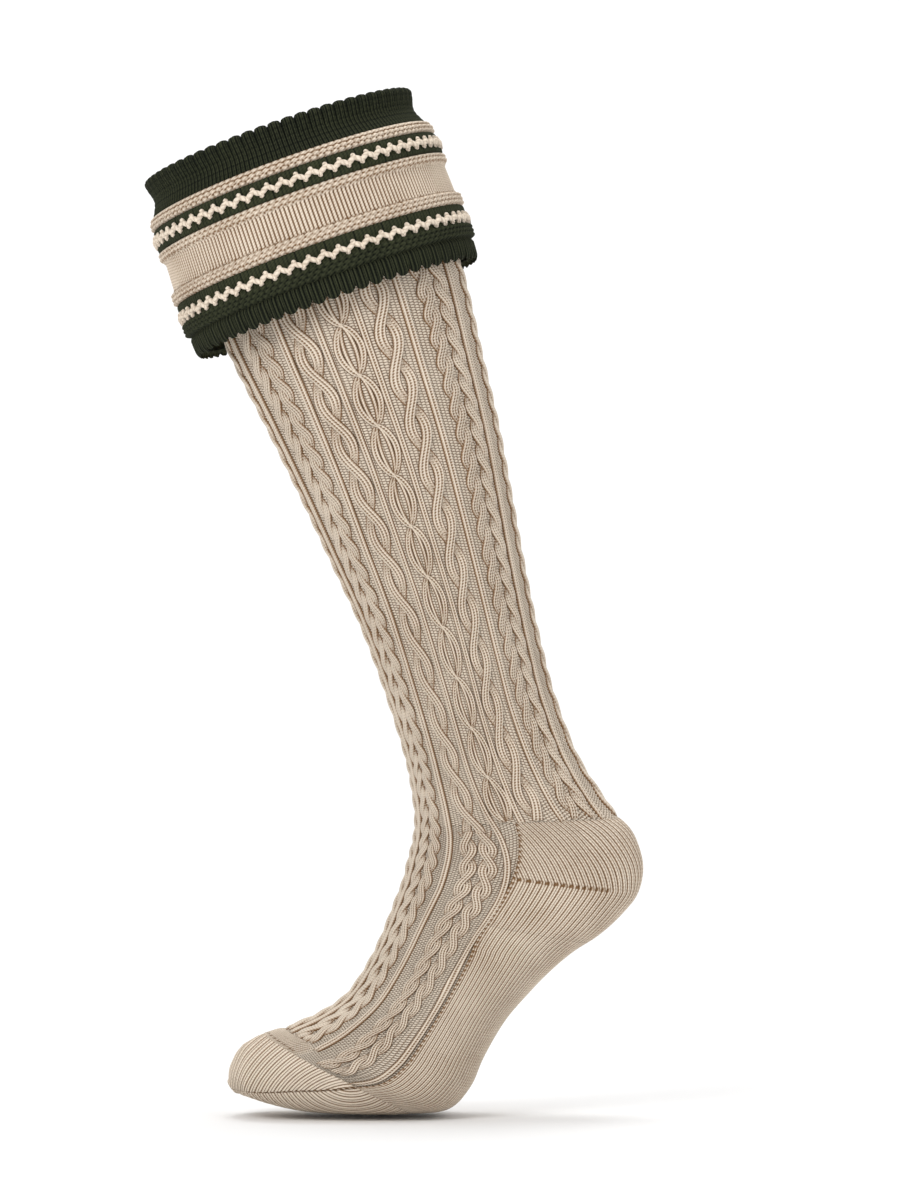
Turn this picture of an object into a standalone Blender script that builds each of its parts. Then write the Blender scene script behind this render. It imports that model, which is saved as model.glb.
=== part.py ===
"""A knitted knee sock with a turned-over striped cuff, in metres, standing as it is worn.

The origin is the centre of the leg opening. +X points to the heel, +Z up, and the sock's plane of
symmetry is XZ. The leg leans towards the toes, the heel is raised, and the forefoot is level.
The knitting is described by cross-sections along the leg and the foot. A section has a front point,
a back point and a half width, and every knitted piece is cut from this one surface.
"""
import math

import bmesh
import bpy
import numpy as np

# Leg and foot sizes
LEG_LENGTH = 0.323          # leg opening to the narrowest place above the ankle
LEG_LEAN = math.radians(19.6)
CALF_DEPTH = 0.131          # front to back under the cuff
CALF_WIDTH = 0.118
ANKLE_DEPTH = 0.085
ANKLE_WIDTH = 0.069
FOOT_LENGTH = 0.245         # heel to toes
HEEL_WIDTH = 0.069
BALL_WIDTH = 0.086

# Knitted walls
CABLE_WALL = 0.0024         # knitting between the cables
CABLE_RELIEF = 0.0016       # height of a cable above it
PLAIN_WALL = 0.0026         # plain knitting of heel, sole and toe
JOIN_GAP = 0.0008           # clearance between two knitted pieces, along the centre line
TURN_DEPTH = 0.012          # depth of the band's inner leg below the fold

# Cuff sizes
CUFF_LENGTH = 0.0924
CUFF_STANDOFF = 0.0152      # the cuff's surface outside the calf's, where each is fullest
CUFF_DEPTH = CALF_DEPTH + 2 * CUFF_STANDOFF
CUFF_WIDTH = CALF_WIDTH + 2 * CUFF_STANDOFF
CUFF_FORWARD = 0.0010       # the cuff's middle in front of the leg's
CUFF_WALL = 0.0030
ROLL_RELIEF = 0.0020        # height of a purl roll above the cuff's surface
BAND_GAP = 0.0003           # clearance between two bands
SCALLOP_PITCH = 0.0071
FOLD_SCALLOP = 0.0026       # depth of the scallops along the fold
EDGE_SCALLOP = 0.0034       # depth of the scallops along the lower edge
SCALLOP_SHOULDER = 1.3      # where a band starts to round into its scallops, in scallop depths

# Facets
ROW_HEIGHT = 0.030          # tallest row of facets on the leg
SOLE_COLUMNS = 16
TOE_COLUMNS = 28
BAND_COLUMNS = 36
SHARP_EDGE = math.radians(50)

# Colours
BEIGE = (0.50, 0.40, 0.29)
DARK_GREEN = (0.031, 0.036, 0.020)
WOOL_ROUGHNESS = 0.9

# Leg sections: place as a share of LEG_LENGTH, then how far the front, the back and the sides have
# grown from the ankle's size (0) to the calf's (1)
LEG_ROWS = (
    # down, front, back, side
    (0.000, 0.91, 0.98, 0.97),
    (0.296, 0.91, 1.10, 1.00),
    (0.433, 0.67, 0.88, 0.88),
    (0.550, 0.48, 0.69, 0.72),
    (0.667, 0.32, 0.43, 0.51),
    (0.784, 0.17, 0.16, 0.28),
    (0.911, 0.15, -0.08, 0.08),
    (1.000, 0.20, -0.18, 0.00),
)

# Foot sections: the instep point and the heel or sole point, forward of and below the ankle's centre
# as shares of FOOT_LENGTH; the width as shares of HEEL_WIDTH and BALL_WIDTH; the squareness of the
# sole's half, where 2 is an ellipse
FOOT_ROWS = (
    # instep forward, down, sole forward, down, of heel, of ball, square
    (0.166, 0.136, -0.198, 0.076, 1.07, 0.00, 2.1),
    (0.158, 0.202, -0.254, 0.163, 1.07, 0.00, 2.1),
    (0.162, 0.249, -0.318, 0.249, 1.04, 0.00, 2.2),
    (0.168, 0.275, -0.333, 0.309, 1.02, 0.00, 2.3),
    (0.175, 0.301, -0.322, 0.365, 1.00, 0.00, 2.3),
    (0.183, 0.335, -0.288, 0.410, 0.98, 0.00, 2.3),
    (0.196, 0.369, -0.241, 0.453, 0.97, 0.00, 2.4),
    (0.213, 0.414, -0.183, 0.491, 0.97, 0.00, 2.4),
    (0.235, 0.468, -0.130, 0.536, 0.78, 0.16, 2.4),
    (0.260, 0.517, -0.080, 0.588, 0.56, 0.36, 2.4),
    (0.299, 0.575, -0.037, 0.639, 0.40, 0.54, 2.4),
    (0.355, 0.617, 0.010, 0.720, 0.16, 0.79, 2.5),
    (0.402, 0.639, 0.037, 0.780, 0.00, 0.97, 2.5),
    (0.445, 0.654, 0.080, 0.825, 0.00, 1.00, 2.5),
    (0.483, 0.667, 0.162, 0.836, 0.00, 1.00, 2.5),
    (0.509, 0.680, 0.247, 0.838, 0.00, 0.97, 2.5),
    (0.528, 0.693, 0.329, 0.836, 0.00, 0.90, 2.4),
    (0.543, 0.714, 0.402, 0.830, 0.00, 0.79, 2.3),
    (0.554, 0.742, 0.470, 0.815, 0.00, 0.60, 2.2),
    (0.556, 0.765, 0.535, 0.795, 0.00, 0.30, 2.1),
)

# Places along the foot, as shares of the run from the ankle's centre to the tip of the toes
HEEL_LINE = 0.19            # cables end at the back of the heel
SOLE_LINE = 0.40            # heel ends and sole begins
TOE_LINE = 0.80             # cables end before the toes

# Line between instep and sole: place along the same run, degrees round from the instep's middle
SIDE_LINE = (
    (0.19, 88.0),
    (0.27, 85.0),
    (0.35, 85.0),
    (0.41, 87.5),
    (0.48, 91.5),
    (0.54, 94.5),
    (0.61, 97.5),
    (0.68, 99.0),
    (0.76, 99.0),
    (0.81, 98.5),
)

# Raised cables round half of the leg: middle and half width in degrees from the front
CABLES = (
    (0.0, 15.0),
    (37.5, 10.5),
    (67.0, 7.8),
    (88.0, 6.5),
    (109.0, 7.8),
    (137.5, 10.5),
    (180.0, 18.0),
)
CREST_SHARE = 0.6           # width of a cable's flat top, of its whole width
SIDE_CABLE = 3              # the cable whose near edge runs on as the side line
SIDE_COLUMN = CABLES[SIDE_CABLE][0] - CABLES[SIDE_CABLE][1]

# Fullness of the cuff's surface: place as a share of CUFF_LENGTH, size as a share of its greatest
CUFF_ROWS = (
    (0.00, 0.912),
    (0.08, 0.892),
    (0.17, 0.933),
    (0.25, 0.955),
    (0.45, 0.965),
    (0.64, 0.973),
    (0.80, 0.973),
    (1.00, 0.966),
)

# Bands between the two scalloped ones: outer profile as a share of CUFF_LENGTH and of ROLL_RELIEF
BAND_ROWS = {
    "cuff_upper_roll": ((0.167, 0.0), (0.180, 0.8), (0.2045, 1.0), (0.229, 0.8), (0.242, 0.0)),
    "cuff_upper_stripe": ((0.242, 0.0), (0.252, 0.4), (0.274, 0.4), (0.282, 0.1), (0.305, 0.6),
                          (0.328, 0.1), (0.336, 0.4), (0.358, 0.4), (0.367, 0.0)),
    "cuff_middle_band": ((0.367, 0.0), (0.378, 0.8), (0.415, 0.8), (0.426, 0.0), (0.440, -0.4),
                         (0.590, -0.4), (0.604, 0.0), (0.617, 0.9), (0.667, 0.9), (0.680, 0.0)),
    "cuff_lower_stripe": ((0.680, 0.0), (0.690, 0.4), (0.722, 0.4), (0.731, 0.1), (0.760, 0.6),
                          (0.789, 0.1), (0.803, 0.8), (0.861, 0.8), (0.875, 0.0)),
}
TOP_BAND_END = 0.167
EDGE_BAND_START = 0.875


def unit(vector):
    return vector / np.linalg.norm(vector)


DOWN_LEG = np.array([math.sin(LEG_LEAN), 0.0, -math.cos(LEG_LEAN)])
TO_BACK = np.array([math.cos(LEG_LEAN), 0.0, math.sin(LEG_LEAN)])
SIDEWAYS = np.array([0.0, -1.0, 0.0])
FORWARD = np.array([-1.0, 0.0, 0.0])
BELOW = np.array([0.0, 0.0, -1.0])


def smooth_value(places, values, place):
    """Read a table at a place, with a smooth curve through its rows."""
    places = np.asarray(places, dtype=float)
    values = np.asarray(values, dtype=float)
    slopes = np.gradient(values, places, axis=0)
    row = int(np.clip(np.searchsorted(places, place) - 1, 0, len(places) - 2))
    step = places[row + 1] - places[row]
    u = (place - places[row]) / step
    keep_start = 2 * u ** 3 - 3 * u ** 2 + 1
    keep_end = 1 - keep_start
    bend_start = (u ** 3 - 2 * u ** 2 + u) * step
    bend_end = (u ** 3 - u ** 2) * step
    return (keep_start * values[row] + keep_end * values[row + 1]
            + bend_start * slopes[row] + bend_end * slopes[row + 1])


def leg_sections():
    """Sections of the leg: station, front point, back point, half width and squareness."""
    sections = []
    for down, front, back, side in LEG_ROWS:
        centre = DOWN_LEG * down * LEG_LENGTH
        front_half = (ANKLE_DEPTH + front * (CALF_DEPTH - ANKLE_DEPTH)) / 2
        back_half = (ANKLE_DEPTH + back * (CALF_DEPTH - ANKLE_DEPTH)) / 2
        half_width = (ANKLE_WIDTH + side * (CALF_WIDTH - ANKLE_WIDTH)) / 2
        sections.append((down * LEG_LENGTH, centre - TO_BACK * front_half,
                         centre + TO_BACK * back_half, half_width, 2.0))
    return sections


def foot_sections():
    """Sections of the foot, each a step further along the centre line from the one before."""
    ankle = DOWN_LEG * LEG_LENGTH
    station, front, back = leg_sections()[-1][:3]
    middle = (front + back) / 2
    sections = []
    for row in FOOT_ROWS:
        instep_forward, instep_down, sole_forward, sole_down, of_heel, of_ball, square = row
        front = ankle + (FORWARD * instep_forward + BELOW * instep_down) * FOOT_LENGTH
        back = ankle + (FORWARD * sole_forward + BELOW * sole_down) * FOOT_LENGTH
        half_width = (of_heel * HEEL_WIDTH + of_ball * BALL_WIDTH) / 2
        station = station + np.linalg.norm((front + back) / 2 - middle)
        middle = (front + back) / 2
        sections.append((station, front, back, half_width, square))
    return sections


SECTIONS = leg_sections() + foot_sections()
STATIONS = [section[0] for section in SECTIONS]
SECTION_VALUES = [[*section[1], *section[2], section[3], section[4]] for section in SECTIONS]
TIP_STATION = STATIONS[-1]
FOOT_RUN = TIP_STATION - LEG_LENGTH
HEEL_STATION = LEG_LENGTH + HEEL_LINE * FOOT_RUN
SOLE_STATION = LEG_LENGTH + SOLE_LINE * FOOT_RUN
TOE_STATION = LEG_LENGTH + TOE_LINE * FOOT_RUN


def surface(station, angle):
    """Point on the knitted surface; the angle runs round from the front, in radians."""
    values = smooth_value(STATIONS, SECTION_VALUES, station)
    front = values[0:3]
    back = values[3:6]
    half_width = values[6]
    lengthways = math.cos(angle)
    crossways = math.sin(angle)
    power = 2 / values[7] if lengthways < 0 else 1.0
    lengthways = math.copysign(abs(lengthways) ** power, lengthways)
    crossways = math.copysign(abs(crossways) ** power, crossways)
    return (front + back) / 2 + (front - back) / 2 * lengthways + SIDEWAYS * half_width * crossways


def knit_point(station, angle, depth):
    """Point at a depth below the knitted surface, along its normal."""
    step = 0.0005
    turn = 0.01
    along = surface(min(station + step, TIP_STATION), angle) - surface(station - step, angle)
    across = surface(station, angle + turn) - surface(station, angle - turn)
    return surface(station, angle) - unit(np.cross(along, across)) * depth


def side_angle(station):
    """Angle of the line between instep and sole."""
    places, angles = zip(*SIDE_LINE)
    place = (station - LEG_LENGTH) / FOOT_RUN
    return math.radians(float(smooth_value(places, angles, max(place, HEEL_LINE))))


def gap_angle(station):
    """Half the clearance between instep and sole, as an angle."""
    values = smooth_value(STATIONS, SECTION_VALUES, station)
    return JOIN_GAP / np.linalg.norm(values[0:3] - values[3:6])


def leg_columns():
    """Columns round the leg from the front: angle in degrees, and whether it is on a cable."""
    half = []
    for middle, half_width in CABLES:
        crest = half_width * CREST_SHARE
        for offset, raised in ((-half_width, False), (-crest, True), (crest, True), (half_width, False)):
            if 0 < middle + offset < 180:
                half.append((middle + offset, raised))
    return half + [(-angle, raised) for angle, raised in reversed(half)]


def row_stations(start, end):
    """Stations of facet rows: the sections' own, with tall steps divided."""
    marks = [start] + [s for s in STATIONS if start + ROW_HEIGHT / 4 < s < end - ROW_HEIGHT / 4] + [end]
    rows = [start]
    for low, high in zip(marks, marks[1:]):
        parts = math.ceil((high - low) / ROW_HEIGHT)
        rows += [low + (high - low) * part / parts for part in range(1, parts + 1)]
    return rows


def wool(name, colour):
    material = bpy.data.materials.new(name)
    material.use_nodes = True
    shader = material.node_tree.nodes["Principled BSDF"]
    shader.inputs["Base Color"].default_value = (*colour, 1.0)
    shader.inputs["Roughness"].default_value = WOOL_ROUGHNESS
    shader.inputs["Metallic"].default_value = 0.0
    material.diffuse_color = (*colour, 1.0)
    return material


def add_object(name, points, faces, colour):
    mesh = bpy.data.meshes.new(name)
    mesh.from_pydata([tuple(point) for point in points], [], faces)
    work = bmesh.new()
    work.from_mesh(mesh)
    bmesh.ops.recalc_face_normals(work, faces=work.faces)
    work.to_mesh(mesh)
    work.free()
    mesh.shade_smooth()
    mesh.set_sharp_from_angle(angle=SHARP_EDGE)
    mesh.materials.append(wool(name, colour))
    piece = bpy.data.objects.new(name, mesh)
    bpy.context.scene.collection.objects.link(piece)
    return piece


def add_shell(name, cells, outer, inner, colour):
    """Closed wall over a patch of grid cells: an outer and an inner skin and the edges between."""
    keys = sorted({key for cell in cells for key in cell})
    number = {key: index for index, key in enumerate(keys)}
    inside = len(keys)
    points = [outer(*key) for key in keys] + [inner(*key) for key in keys]
    faces = []
    edges = set()
    for cell in cells:
        corners = [number[key] for key in dict.fromkeys(cell)]
        faces.append(corners)
        faces.append([inside + corner for corner in reversed(corners)])
        edges.update(zip(corners, corners[1:] + corners[:1]))
    for a, b in edges:
        if (b, a) not in edges:
            faces.append([b, a, inside + a, inside + b])
    return add_object(name, points, faces, colour)


def add_patch(name, rows, angles, depths, wall, closed=False):
    """Wall over rows of stations; angles(station) gives a row's columns, depths their relief."""
    count = len(depths)

    def outer(row, column):
        return knit_point(rows[row], angles(rows[row])[column], depths[column])

    def inner(row, column):
        return knit_point(rows[row], angles(rows[row])[column], wall)

    cells = []
    for row in range(len(rows) - 1):
        for column in range(count if closed else count - 1):
            after = (column + 1) % count
            cells.append(((row, column), (row, after), (row + 1, after), (row + 1, column)))
    return add_shell(name, cells, outer, inner, BEIGE)


def add_leg():
    columns = leg_columns()
    depths = [0.0 if raised else CABLE_RELIEF for angle, raised in columns]
    turns = [math.radians(angle) for angle, raised in columns]
    rows = row_stations(TURN_DEPTH, HEEL_STATION - JOIN_GAP / 2)
    return add_patch("leg", rows, lambda station: turns, depths, CABLE_RELIEF + CABLE_WALL, closed=True)


def add_instep():
    """Cabled top of the foot, whose columns run on from the leg's."""
    columns = [column for column in leg_columns() if abs(column[0]) <= SIDE_COLUMN]
    columns.sort()
    depths = [0.0 if raised else CABLE_RELIEF for angle, raised in columns]
    rows = row_stations(HEEL_STATION + JOIN_GAP / 2, TOE_STATION - JOIN_GAP / 2)

    def angles(station):
        reach = side_angle(station) - gap_angle(station)
        return [angle / SIDE_COLUMN * reach for angle, raised in columns]

    return add_patch("instep", rows, angles, depths, CABLE_RELIEF + CABLE_WALL)


def add_underfoot(name, start, end):
    """Plain knitting between the two side lines, round the back of the heel or under the foot."""
    rows = row_stations(start + JOIN_GAP / 2, end - JOIN_GAP / 2)

    def angles(station):
        edge = side_angle(station) + gap_angle(station)
        return [edge + (2 * math.pi - 2 * edge) * column / SOLE_COLUMNS
                for column in range(SOLE_COLUMNS + 1)]

    return add_patch(name, rows, angles, [0.0] * (SOLE_COLUMNS + 1), PLAIN_WALL)


def add_toe_cap():
    rows = row_stations(TOE_STATION + JOIN_GAP / 2, TIP_STATION)
    last = len(rows) - 1
    tip_values = smooth_value(STATIONS, SECTION_VALUES, TIP_STATION)
    tip = (tip_values[0:3] + tip_values[3:6]) / 2
    forward = unit(tip - (SECTIONS[-2][1] + SECTIONS[-2][2]) / 2)

    def skin(row, column, depth):
        if row > last:
            return tip + forward * (PLAIN_WALL / 2 - depth)
        return knit_point(rows[row], 2 * math.pi * column / TOE_COLUMNS, depth)

    def outer(row, column):
        return skin(row, column, 0.0)

    def inner(row, column):
        return skin(row, column, PLAIN_WALL)

    cells = []
    for row in range(last + 1):
        for column in range(TOE_COLUMNS):
            after = (column + 1) % TOE_COLUMNS
            ahead = ((row + 1, after), (row + 1, column))
            if row == last:
                ahead = ((last + 1, 0),)
            cells.append(((row, column), (row, after)) + ahead)
    return add_shell("toe_cap", cells, outer, inner, BEIGE)


def cuff_point(down, angle, out):
    """Point of the cuff, at a distance outside its surface; down is a share of CUFF_LENGTH."""
    places, sizes = zip(*CUFF_ROWS)
    fullness = float(smooth_value(places, sizes, down))
    half_depth = CUFF_DEPTH / 2 * fullness + out
    half_width = CUFF_WIDTH / 2 * fullness + out
    return (DOWN_LEG * down * CUFF_LENGTH
            - TO_BACK * (CUFF_FORWARD + half_depth * math.cos(angle))
            + SIDEWAYS * half_width * math.sin(angle))


def add_ring(name, loops, colour):
    """Closed ring through loops of points; a loop may have twice as many points as its neighbour."""
    points = []
    starts = []
    for loop in loops:
        starts.append(len(points))
        points += loop
    faces = []
    for place, loop in enumerate(loops):
        following = (place + 1) % len(loops)
        a, b = (place, following) if len(loop) <= len(loops[following]) else (following, place)
        count = len(loops[a])
        fine = len(loops[b]) // count
        turned = a != place
        for i in range(count):
            j = (i + 1) % count
            low = (starts[a] + i, starts[a] + j)
            if fine == 1:
                cell = [[low[0], low[1], starts[b] + j, starts[b] + i]]
            else:
                peak = starts[b] + 2 * i + 1
                cell = [[low[0], peak, starts[b] + 2 * i], [low[0], low[1], peak],
                        [low[1], starts[b] + 2 * j, peak]]
            faces += [face[::-1] for face in cell] if turned else cell
    return add_object(name, points, faces, colour)


def ring_angles(count):
    return [2 * math.pi * i / count for i in range(count)]


def scallop_count():
    round_the_fold = math.pi * (CUFF_DEPTH + CUFF_WIDTH) / 2 * CUFF_ROWS[0][1]
    return round(round_the_fold / SCALLOP_PITCH)


def add_band(name, rows, colour):
    gap = BAND_GAP / 2 / CUFF_LENGTH
    angles = ring_angles(BAND_COLUMNS)
    start = rows[0][0] + gap
    end = rows[-1][0] - gap
    profile = [(min(max(place, start), end), relief * ROLL_RELIEF) for place, relief in rows]
    profile += [(end, -CUFF_WALL), (start, -CUFF_WALL)]
    loops = [[cuff_point(place, angle, out) for angle in angles] for place, out in profile]
    return add_ring(name, loops, colour)


def add_top_band():
    """Band that folds over at the opening: outer leg, scalloped fold and inner leg."""
    count = scallop_count()
    angles = ring_angles(count)
    end = TOP_BAND_END - BAND_GAP / 2 / CUFF_LENGTH
    shoulder = FOLD_SCALLOP * SCALLOP_SHOULDER / CUFF_LENGTH
    crook = shoulder + CUFF_WALL / CUFF_LENGTH
    middle = (end + shoulder) / 2
    inner_end = TURN_DEPTH - JOIN_GAP

    def loop(place, out):
        return [cuff_point(place, angle, out) for angle in angles]

    fold = []
    for i, angle in enumerate(ring_angles(2 * count)):
        notch = FOLD_SCALLOP / CUFF_LENGTH if i % 2 == 0 else 0.0
        fold.append(cuff_point(notch, angle, -CUFF_WALL / 2))
    loops = [
        loop(end, 0.0),
        loop(middle, 0.0),
        loop(shoulder, 0.0),
        fold,
        loop(shoulder, -CUFF_WALL),
        [knit_point(inner_end, angle, CABLE_RELIEF + CABLE_WALL) for angle in angles],
        [knit_point(inner_end, angle, CABLE_RELIEF) for angle in angles],
        loop(crook, -CUFF_WALL - BAND_GAP),
        loop(end, -CUFF_WALL),
    ]
    return add_ring("cuff_top_band", loops, DARK_GREEN)


def add_edge_band():
    """Lowest band, whose free edge ends in scallops."""
    count = scallop_count()
    angles = ring_angles(count)
    start = EDGE_BAND_START + BAND_GAP / 2 / CUFF_LENGTH
    shoulder = 1.0 - EDGE_SCALLOP * SCALLOP_SHOULDER / CUFF_LENGTH

    def loop(place, out):
        return [cuff_point(place, angle, out) for angle in angles]

    def scallops(out):
        edge = []
        for i, angle in enumerate(ring_angles(2 * count)):
            notch = EDGE_SCALLOP / CUFF_LENGTH if i % 2 == 0 else 0.0
            edge.append(cuff_point(1.0 - notch, angle, out))
        return edge

    loops = [
        loop(start, 0.0),
        loop(shoulder, 0.0),
        scallops(-CUFF_WALL / 4),
        scallops(-CUFF_WALL * 3 / 4),
        loop(shoulder, -CUFF_WALL),
        loop(start, -CUFF_WALL),
    ]
    return add_ring("cuff_edge_band", loops, DARK_GREEN)


def clear_scene():
    for piece in list(bpy.data.objects):
        bpy.data.objects.remove(piece, do_unlink=True)


def main():
    clear_scene()
    add_leg()
    add_instep()
    add_underfoot("heel", HEEL_STATION, SOLE_STATION)
    add_underfoot("sole", SOLE_STATION, TOE_STATION)
    add_toe_cap()
    add_top_band()
    band_colours = {"cuff_upper_roll": BEIGE, "cuff_middle_band": BEIGE}
    for name, rows in BAND_ROWS.items():
        add_band(name, rows, band_colours.get(name, DARK_GREEN))
    add_edge_band()


main()
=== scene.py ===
"""Looks of a cable-knit knee sock with a turned-over striped cuff, in metres.

The knitted surface is the same set of cross-sections that the solids are cut from. A place on it is
a station along the leg and foot and an angle round it, from the front. Raised cables are strands that
follow paths on this surface, over a purl ground. The cuff has a surface of its own, with bands of
ribs, looped rolls and zigzag cords.
"""

import math

import bpy
import numpy as np
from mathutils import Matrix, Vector


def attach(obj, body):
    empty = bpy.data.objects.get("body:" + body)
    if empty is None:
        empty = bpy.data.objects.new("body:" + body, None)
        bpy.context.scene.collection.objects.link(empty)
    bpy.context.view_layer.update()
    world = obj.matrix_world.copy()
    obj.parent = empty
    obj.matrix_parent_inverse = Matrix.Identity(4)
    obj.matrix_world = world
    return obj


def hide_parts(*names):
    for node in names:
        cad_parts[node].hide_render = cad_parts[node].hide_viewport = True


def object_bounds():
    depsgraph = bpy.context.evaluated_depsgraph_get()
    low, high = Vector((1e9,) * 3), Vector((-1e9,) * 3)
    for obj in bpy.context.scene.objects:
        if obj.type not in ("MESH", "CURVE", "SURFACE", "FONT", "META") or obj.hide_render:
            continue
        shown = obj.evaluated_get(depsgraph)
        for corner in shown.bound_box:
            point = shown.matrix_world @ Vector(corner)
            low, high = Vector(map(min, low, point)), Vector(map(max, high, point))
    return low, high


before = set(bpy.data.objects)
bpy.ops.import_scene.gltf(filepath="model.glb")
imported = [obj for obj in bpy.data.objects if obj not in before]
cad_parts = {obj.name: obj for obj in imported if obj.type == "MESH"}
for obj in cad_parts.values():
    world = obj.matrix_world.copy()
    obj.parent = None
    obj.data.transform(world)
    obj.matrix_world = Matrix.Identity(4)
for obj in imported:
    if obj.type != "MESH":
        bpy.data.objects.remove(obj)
CAD_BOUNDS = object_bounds()

# Leg and foot sizes
LEG_LENGTH = 0.323
LEG_LEAN = math.radians(19.6)
CALF_DEPTH = 0.131
CALF_WIDTH = 0.118
ANKLE_DEPTH = 0.085
ANKLE_WIDTH = 0.069
FOOT_LENGTH = 0.245
HEEL_WIDTH = 0.069
BALL_WIDTH = 0.086
CABLE_WALL = 0.0024
CABLE_RELIEF = 0.0016
PLAIN_WALL = 0.0026
JOIN_GAP = 0.0008
TURN_DEPTH = 0.012

# Cuff sizes
CUFF_LENGTH = 0.0924
CUFF_STANDOFF = 0.0152
CUFF_DEPTH = CALF_DEPTH + 2 * CUFF_STANDOFF
CUFF_WIDTH = CALF_WIDTH + 2 * CUFF_STANDOFF
CUFF_FORWARD = 0.0010
CUFF_WALL = 0.0030
ROLL_RELIEF = 0.0020
FOLD_SCALLOP = 0.0018
EDGE_SCALLOP = 0.0036
SCALLOPS = 62
RIBS = 217
LOOPS = 124

# Ground and plain knitting
STITCH = 0.00145
GROUND_DEPTH = 0.0018
GROUND_SHADE = -0.03
PURL_BUMP = 0.00040
PURL_SHADE = 0.12
PLAIN_WALES = 26
WALE_RIDGE = 0.00060
HOLE_SHADE = 0.8
HOLE_COLUMNS = 3.0
SIDE_COURSES_SHARE = 0.15
FIRST_COURSES = 0.007
HEEL_START_DEPTH = 0.0012
HEEL_MARKS_STATION = 0.4080
HEEL_SLANT = 250.0
HEEL_FADE = math.radians(60)
HEEL_GAP_SHADE = 0.5
SOLE_GAP_SHADE = 0.45
MARK_LENGTH = 0.0009
MARK_DEPTH = 0.0009

# Rows of small dented marks in the plain knitting, darkened with painted shade: station, first and last
# mark in degrees from the front, how many marks, how dark
MARK_ROWS = (
    (HEEL_MARKS_STATION, 88.0, 134.0, 13, 1.0),
    (0.5475, 4.0, 48.0, 16, 0.7),
)

# Toe, and the plain courses before it
TOE_COURSES_EDGE = math.radians(54)
TOE_COURSES_DEPTH = 0.0014
TOE_COURSES_SIDE_DEPTH = 0.0018
TOE_COURSES_SHADE = 0.4
TOE_WALE = 0.0030
TOE_SIDE_SHARE = 0.6
TOE_COURSE_RADIUS = 0.06
TOE_GAP_SHADE = 0.25
TOE_SEAM_DEPTH = 0.0008
TOE_SEAM_DEGREES = 1.2
TIP_BULGE = 0.0016
TIP_START = 0.055
TIP_RUN = 0.030
TIP_REACH = 0.066

# Centre of the arcs of the toe, as x and z, and the height of the seam that mirrors them underfoot
TOE_CENTRE = (0.0376, -0.521)
TOE_SEAM_HEIGHT = -0.499

# Strands of the cables, and how their ends sink into the ground
STRAND_STEP = 0.0016
CREST_DEPTH = 0.0001
CREST_ROUND = 0.0003
GROOVE = 0.0011
EDGE_DEPTH = 0.0016
STRAND_BODY = 0.0009
RIB_LIFT = 0.0003
STRAND_END = 0.005
STRAND_END_DEPTH = 0.0014
SIDE_CLEARANCE = math.radians(6.0)

# Stations where the cables start, open and end, and lengths from one crossing to the next
CABLE_START = 0.076
CABLE_END = 0.5345
OUTER_RIB_END = 0.5375
SIDE_CABLE_END = 0.5480
WAVE_END = 0.383
SIDE_CHAIN_START = 0.381
WAVE_PITCH = 0.0244
WAVE_OPEN = 0.1150
WAVE_BACK_OPEN = 0.1190
DIAMOND_PITCH = 0.0272
DIAMOND_OPEN = 0.1190
CHAIN_PITCH = 0.0126
CHAIN_OPEN = 0.0900

# How far strands rise and sink where they cross, and how sharply diamonds turn
WAVE_LIFT = 0.0010
CHAIN_LIFT = 0.0008
FINE_LIFT = 0.0006
DIAMOND_SNAP = 0.7

# Strands of a column: swing and half width in degrees, and wales; and how far round the front one lies
WAVE_STRANDS = ((4.2, 3.15, 3),)
DIAMOND_STRANDS = ((5.9, 2.0, 2), (2.7, 1.25, 1))
FRONT_STRANDS = ((3.2, 2.3, 2),)
BACK_STRANDS = ((3.8, 2.6, 2),)
FRONT_SHIFT = 7.8

# Half widths of ribs and of the ropes of chains, in degrees
RIB_HALF = {"rib_a": 2.2, "rib_b": 2.3, "thin_front": 1.9, "thin_back": 1.9, "rib_c": 2.3, "rib_e": 2.3}
CHAIN_HALF = {"chain_front": 5.2, "wave_front": 5.4, "chain_back": 5.6}

# Cuff stitches
LOOP_ROW = 0.0023
LOOP_HEIGHT = 0.0017
RIB_HEIGHT = 0.0012
FLUTE_HEIGHT = 0.0005
TOOTH = 0.0018
BAND_ROW = 0.0026
BAND_ROW_DEPTH = 0.0005
BAND_RIB = 0.0009
FOLD_RADIUS = 0.0019
FOLD_RISE = 0.0042
FINGER_GROOVE = 0.0012
EDGE_GROOVE = 0.0011
ZIGZAG_SWING = 0.0021
ZIGZAG_POINTS = 24
CORD_RADIUS = 0.00125
CORD_LIFT = 0.0012
CORD_SIDES = 7

# Facets of the fine skins, and how many of them one facet of the inner skin spans
LEG_COLUMNS = 148
INSTEP_COLUMNS = 92
PLAIN_COLUMNS = 284
TOE_COLUMNS = 336
WALL_COARSE = 4
CUFF_COARSE = 6

# Leg sections: place as a share of LEG_LENGTH, then how far the front, the back and the sides have
# grown from the ankle's size (0) to the calf's (1)
LEG_ROWS = (
    # down, front, back, side
    (0.000, 0.91, 0.98, 0.97),
    (0.296, 0.91, 1.10, 1.00),
    (0.433, 0.67, 0.88, 0.88),
    (0.550, 0.48, 0.69, 0.72),
    (0.667, 0.32, 0.43, 0.51),
    (0.784, 0.17, 0.16, 0.28),
    (0.911, 0.15, -0.08, 0.08),
    (1.000, 0.20, -0.18, 0.00),
)

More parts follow.
